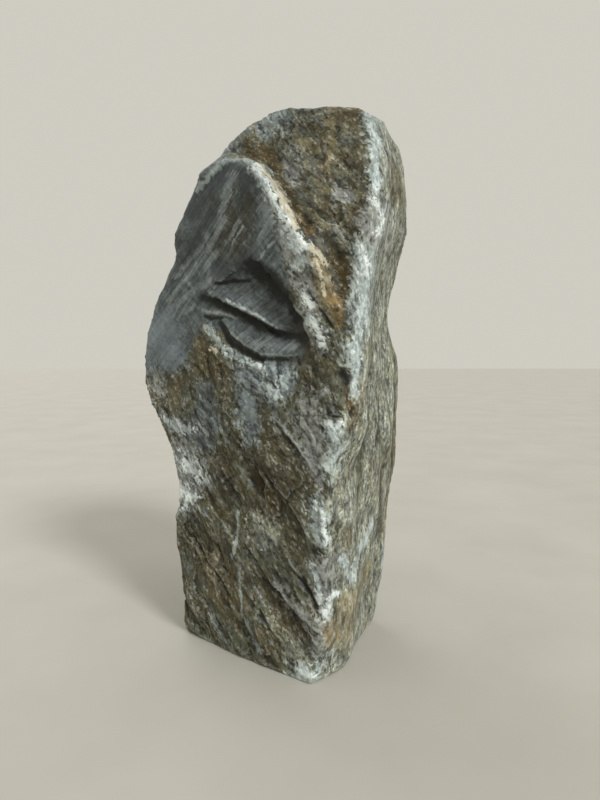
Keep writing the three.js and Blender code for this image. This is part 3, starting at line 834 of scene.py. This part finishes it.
# The bench for the stone, with its noise and the ways to lay one tone over another by it.
class StoneBench(Bench):
    def __init__(self):
        super().__init__("soapstone")
        self.ways = [grain["along"], grain["across"], grain["into"]]
        self.place = self.node("ShaderNodeTexCoord", {}, {}, "Object")
        self.front = self.mark("front")
        self.streaks = self.stretchedCloud("streaks", self.ways)
        self.threads = self.stretchedCloud("threads", self.ways)
        self.mottle = self.stretchedCloud("mottle", self.ways)
        self.patches = self.stretchedCloud("patches", self.ways)
        self.drift = self.stretchedCloud("drift", self.ways)
        self.regions = self.stretchedCloud("regions", self.ways)
        self.striae = self.stretchedCloud("striae", slabGrain)
        self.scratches = self.stretchedCloud("scratches", slabGrain)
        self.crumbs = self.roundCloud("crumbs")
        self.grit = self.roundCloud("grit")
        sockets = {"Vector": self.place, "Scale": 1 / (leaves["wander"] * mm), "Detail": 2}
        self.wander = self.node("ShaderNodeTexNoise", {}, sockets, "Color")
        self.flakes = self.scatter("flakes")
        self.grains = self.scatter("grains")
        self.ragged = (self.crumbs - 0.5) * 0.8 + (self.flakes[0] - 0.5) * 0.3 + (self.grains[0] - 0.5) * 0.4
        paleNoise = self.crumbs * 0.5 + self.grains[1] * 0.3 + self.flakes[2] * 0.2
        self.pale = self.blend(self.rise(paleNoise, 0.34, 0.62), tones["paleGrey"], tones["pale"])
        self.cover = 0.34 + self.crumbs * 0.3 + self.flakes[2] * 0.3 + self.grains[2] * 0.3

    def stretchedPlace(self, ways, lengths):
        parts = {}
        for axis, (way, length) in enumerate(zip(ways, lengths)):
            sockets = {0: self.place, 1: tuple(part / (length * mm) for part in way)}
            parts[axis] = self.node("ShaderNodeVectorMath", {"operation": "DOT_PRODUCT"}, sockets, "Value")
        return self.node("ShaderNodeCombineXYZ", {}, parts)

    def stretchedCloud(self, name, ways):
        lengths, detail, roughness = clouds[name]
        return self.cloud(self.stretchedPlace(ways, lengths), 1.0, detail, roughness)

    def roundCloud(self, name):
        length, detail, roughness = clouds[name]
        return self.cloud(self.place, 1 / (length * mm), detail, roughness)

    # Three random values for each leaf of one size.
    def scatter(self, name):
        sockets = {0: self.stretchedPlace(self.ways, leaves[name]), 1: self.wander}
        cells = self.node("ShaderNodeVectorMath", {"operation": "ADD"}, sockets)
        random = self.node("ShaderNodeTexVoronoi", {}, {"Vector": cells, "Scale": 1.0}, "Color")
        return [self.node("ShaderNodeSeparateColor", {}, {0: random}, part) for part in range(3)]

    def edge(self, name, low=0.36, high=0.72, ragging=1.0):
        return self.rise(self.mark(name) + self.ragged * ragging, low, high)

    def speckled(self, cloud, low, high, turn=1):
        return self.rise(cloud * 0.64 + self.flakes[turn] * 0.18 + self.grains[turn] * 0.18, low, high)

    def tinted(self, colour, name, cloud, turn=1):
        toneName, low, high, share = tints[name]
        return self.blend(self.speckled(cloud, low, high, turn) * share, colour, tones[toneName])

    def toneOf(self, kind):
        return self.pale if kind in ("pale", "white") else tones[kind]


def facetColour(bench):
    share = bench.speckled(bench.mottle * 0.6 + bench.crumbs * 0.4, 0.4, 0.6)
    colour = bench.blend(share, tones["facetDark"], tones["facet"])
    return bench.tinted(colour, "facetGrey", bench.patches, 2)


def sideColour(bench):
    share = bench.speckled(bench.crumbs, 0.38, 0.64)
    colour = bench.blend(share, tones["sideDark"], tones["sideLine"])
    colour = bench.blend(0.35, colour, tones["side"])
    colour = bench.tinted(colour, "sideOlive", bench.mottle, 2)
    colour = bench.blend(bench.rise(bench.threads, 0.53, 0.66) * 0.45, colour, tones["sideLine"])
    shade = bench.rise(bench.patches, 0.4, 0.6) * 0.34 + bench.rise(bench.streaks, 0.36, 0.64) * 0.18
    shade += bench.rise(bench.mottle, 0.4, 0.6) * 0.2 + bench.rise(bench.drift, 0.4, 0.6) * 0.24
    return bench.scaled(colour, 0.6 + shade)


# The body: olive with umber streaks and grey-green mottles, then the upper facet and the right side.
def bodyColour(bench):
    colour = bench.tinted(tones["olive"], "umberStreaks", bench.streaks * 0.65 + bench.patches * 0.35)
    colour = bench.tinted(colour, "greyMottle", bench.mottle, 2)
    colour = bench.blend(bench.edge("facet"), colour, facetColour(bench))
    colour = bench.blend(bench.edge("side") * (0.75 + bench.front * 0.25), colour, sideColour(bench))
    colour = bench.tinted(colour, "brownDrift", bench.drift)
    colour = bench.tinted(colour, "rustDrift", bench.drift, 2)
    return bench.tinted(colour, "steelDrift", 1 - bench.drift, 2)


# Stains and pale bloom, mostly on the faces away from the front, and paler corners.
def stainedAway(bench, colour):
    away = 1 - bench.front * 0.9
    stains = {
        "rustAway": bench.patches * 0.7 + bench.crumbs * 0.3,
        "blueAway": 1 - bench.patches * 0.6 - bench.mottle * 0.4,
        "brownAway": bench.regions * 0.6 + bench.mottle * 0.2 + bench.crumbs * 0.2,
        "paleAway": 1 - bench.regions * 0.6 - bench.mottle * 0.2 - bench.crumbs * 0.2,
    }
    for name, cloud in stains.items():
        toneName, low, high, share = tints[name]
        colour = bench.blend(bench.rise(cloud, low, high) * away * share, colour, tones[toneName])
    corner = bench.rise(bench.mark("broadBend") + bench.ragged * 0.8, 0.66, 1.2)
    return bench.blend(corner * (away * 0.3 + 0.05), colour, bench.pale)


# The named areas and marks, broken up by the small leaves.
def marked(bench, colour):
    mixed = bench.crumbs * 0.5 + bench.flakes[1] * 0.3 + bench.grains[2] * 0.2
    lighter = bench.rise(mixed, 0.48, 0.62) * 0.4
    for kind in bodyKinds:
        over = bench.toneOf(kind)
        if kind in ("umber", "brown"):
            over = bench.blend(lighter, over, tones["facet"])
        colour = bench.blend(bench.edge(kind) * bench.cover, colour, over)
    return bench.blend(bench.edge("white", 0.5, 1.05) * 0.9, colour, tones["white"])


# Light flecks and threads, dark pores, and the light and dark of single flakes.
def flecked(bench, colour):
    flakes, grains = bench.flakes, bench.grains
    gathered = bench.rise(bench.mottle, 0.35, 0.6)
    fleck = bench.rise(bench.grit * 0.4 + grains[2] * 0.35 + flakes[2] * 0.25, 0.66, 0.8) * gathered
    colour = bench.blend(fleck * finish["flecks"], colour, tones["fleck"])
    thread = bench.rise(bench.threads * 0.75 + grains[0] * 0.25, 0.56, 0.68) * gathered
    colour = bench.blend(thread * finish["threads"], colour, tones["fleck"])
    bright = bench.rise(bench.mark("pale") + bench.mark("white") + bench.mark("cream"), 0.3, 0.9)
    pore = bench.rise(1 - bench.grit * 0.4 - grains[1] * 0.35 - flakes[1] * 0.25, 0.66, 0.8)
    fewer = finish["pores"] - finish["poresOnPale"]
    colour = bench.blend(pore * (finish["pores"] - bright * fewer), colour, tones["dark"])
    shade = 0.03 + bench.rise(bench.streaks, 0.36, 0.64) * 0.5 + flakes[0] * 0.5 + grains[0] * 0.26
    shade += bench.rise(bench.mottle, 0.38, 0.62) * 0.46 + bench.rise(bench.drift, 0.38, 0.62) * 0.1
    shade += (0.98 - shade) * (bright * 0.5)
    return bench.scaled(colour, shade)


# The slab is smoother, with soft lines up and across it.
def slabColour(bench):
    striae, scratches, crumbs, flakes = bench.striae, bench.scratches, bench.crumbs, bench.flakes
    warmth = bench.patches * 0.3 + bench.mark("slabBrown") * 0.4 + crumbs * 0.3 + (flakes[1] - 0.5) * 0.2
    colour = bench.blend(bench.rise(warmth, 0.4, 0.66), tones["slab"], tones["slabBrown"])
    colour = bench.tinted(colour, "slabLustre", bench.mottle, 2)
    lines = (striae - 0.5) * 1.2
    slate = bench.rise(bench.mark("slate") + lines + bench.ragged * 0.4, 0.2, 0.9)
    colour = bench.blend(slate * 0.75, colour, tones["slate"])
    lustre = bench.mark("lustre") + lines + (scratches - 0.5) * 1.2 + bench.ragged * 0.4
    colour = bench.blend(bench.rise(lustre, 0.36, 0.9) * 0.7, colour, tones["lustre"])
    shade = bench.rise(striae, 0.34, 0.66) * 0.36 + bench.rise(scratches, 0.36, 0.64) * 0.4
    shade = 0.2 + (shade + bench.grains[0] * 0.3) + flakes[0] * 0.2 + crumbs * 0.4 + bench.grit * 0.3
    colour = bench.scaled(colour, shade)
    for kind in ["blue", "grey", "umber", "cream", "paleGrey", "pale", "white"]:
        share = bench.edge(kind, 0.3, 0.9, 0.9) * (bench.cover * 0.6 + 0.3)
        colour = bench.blend(share, colour, bench.toneOf(kind))
    return bench.scaled(colour, 0.82 + bench.rise(striae, 0.35, 0.65) * 0.24 + (bench.mottle - 0.5) * 0.5)


# Worn high edges are paler. Creases and broad hollows get painted shade, broad rounded parts painted light,
# and the marks of kind dark painted shadow.
def wearAndPaintedShade(bench, colour):
    bend = bench.mark("bend")
    rubbed = bench.rise(bend + bench.ragged * 0.4, 0.6, 1.0)
    colour = bench.blend(rubbed * finish["rubbedEdges"], colour, tones["fleck"])
    # Painted shade: the bottoms of creases are darkened, less on the slab.
    crack = 1 - bench.rise(bend + (bench.crumbs - 0.5) * 0.3, 0.02, 0.46)
    fewer = finish["creaseShade"] - finish["creaseShadeOnSlab"]
    share = crack * (finish["creaseShade"] - bench.mark("slab") * fewer)
    colour = bench.blend(share, colour, tones["dark"])
    # Painted shade and light: broad hollows darker, broad rounded parts lighter.
    colour = bench.scaled(colour, 0.68 + bench.rise(bench.mark("broadBend"), 0.05, 0.85) * 0.52)
    # Painted shadow: the marks of kind dark, near black.
    paintedShade = bench.rise(bench.mark("dark") + bench.ragged * 0.6, 0.2, 0.8)
    return bench.blend(paintedShade * finish["paintedShade"], colour, tones["dark"])


# The whole material: stained body, marks, flecks, slab, then wear and painted shade, one over the other.
def stoneFinish():
    bench = StoneBench()
    slab = bench.mark("slab")
    colour = stainedAway(bench, bodyColour(bench))
    colour = flecked(bench, marked(bench, colour))
    colour = bench.blend(bench.edge("slab", 0.42, 0.58, 0.6), colour, slabColour(bench))

    smoother = finish["roughness"] - finish["slabRoughness"]
    height = bench.crumbs * 0.5 + bench.threads * 0.3 + bench.mottle * 0.3 + bench.flakes[0] * 0.3
    height = height + bench.grains[0] * 0.15 + bench.grit * 0.3
    bumpSockets = {
        "Strength": finish["bumpStrength"],
        "Distance": finish["bumpDepth"],
        "Height": height * (1 - slab * 0.8) + bench.striae * slab * 0.3,
    }
    sockets = {
        "Base Color": wearAndPaintedShade(bench, colour),
        "Roughness": finish["roughness"] - slab * smoother + (bench.grit - 0.5) * 0.3,
        "Specular IOR Level": finish["specular"],
        "Normal": bench.node("ShaderNodeBump", {}, bumpSockets),
    }
    surface = bench.node("ShaderNodeBsdfPrincipled", {}, sockets)
    bench.node("ShaderNodeOutputMaterial", {}, {"Surface": surface})
    return bench.material


stone.data.materials.clear()
stone.data.materials.append(stoneFinish())
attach(stone, "root")
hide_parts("stone")
print("stone finished")

# Floor, light and camera.
studio = {
    "floorSize": 12,
    "floorTone": tone(196, 194, 186),
    "floorTint": tone(178, 175, 166),
    "floorGrit": (9, 3),  # its scale and detail
    "floorRoughness": 0.8,
    "airTone": tone(228, 225, 214),
    "airStrength": 0.8,
    # name: where it shines from, strength, and how wide it is in degrees
    "lamps": {
        "key": ((0.5, -0.62, 0.6), 1.78, 14),
        "rim": ((-0.4, 0.8, 0.5), 0.7, 40),
    },
}
view = {
    "lens": 27,
    "place": (0.01699, -0.42328, 0.1965),
    "down": 4.743,  # degrees below level
    "nearest": 0.01,  # nothing closer than this is seen
}


def buildStudio():
    scene = bpy.context.scene
    bench = Bench("floorPaint")
    grit = bench.cloud(bench.node("ShaderNodeTexCoord", {}, {}, "Object"), *studio["floorGrit"])
    colour = bench.blend(grit, studio["floorTone"], studio["floorTint"])
    sockets = {"Base Color": colour, "Roughness": studio["floorRoughness"]}
    surface = bench.node("ShaderNodeBsdfPrincipled", {}, sockets)
    bench.node("ShaderNodeOutputMaterial", {}, {"Surface": surface})
    half = studio["floorSize"] / 2
    mesh = bpy.data.meshes.new("floor")
    corners = [(-half, -half, 0), (half, -half, 0), (half, half, 0), (-half, half, 0)]
    mesh.from_pydata(corners, [], [(0, 1, 2, 3)])
    mesh.materials.append(bench.material)
    floor = bpy.data.objects.new("floor", mesh)
    scene.collection.objects.link(floor)

    for name, (way, strength, width) in studio["lamps"].items():
        lamp = bpy.data.lights.new(name, "SUN")
        lamp.energy = strength
        lamp.angle = numpy.radians(width)
        stand = bpy.data.objects.new(name, lamp)
        stand.rotation_euler = Vector(way).to_track_quat("Z", "Y").to_euler()
        scene.collection.objects.link(stand)

    world = bpy.data.worlds.new("air")
    world.use_nodes = True
    background = world.node_tree.nodes["Background"]
    background.inputs["Color"].default_value = studio["airTone"]
    background.inputs["Strength"].default_value = studio["airStrength"]
    scene.world = world

    eye = bpy.data.objects.new("camera", bpy.data.cameras.new("camera"))
    eye.data.lens = view["lens"]
    eye.data.clip_start = view["nearest"]
    eye.location = view["place"]
    eye.rotation_euler = (numpy.radians(90 - view["down"]), 0, 0)
    scene.collection.objects.link(eye)
    scene.camera = eye
    scene.view_settings.view_transform = "Standard"


buildStudio()
print("studio ready")
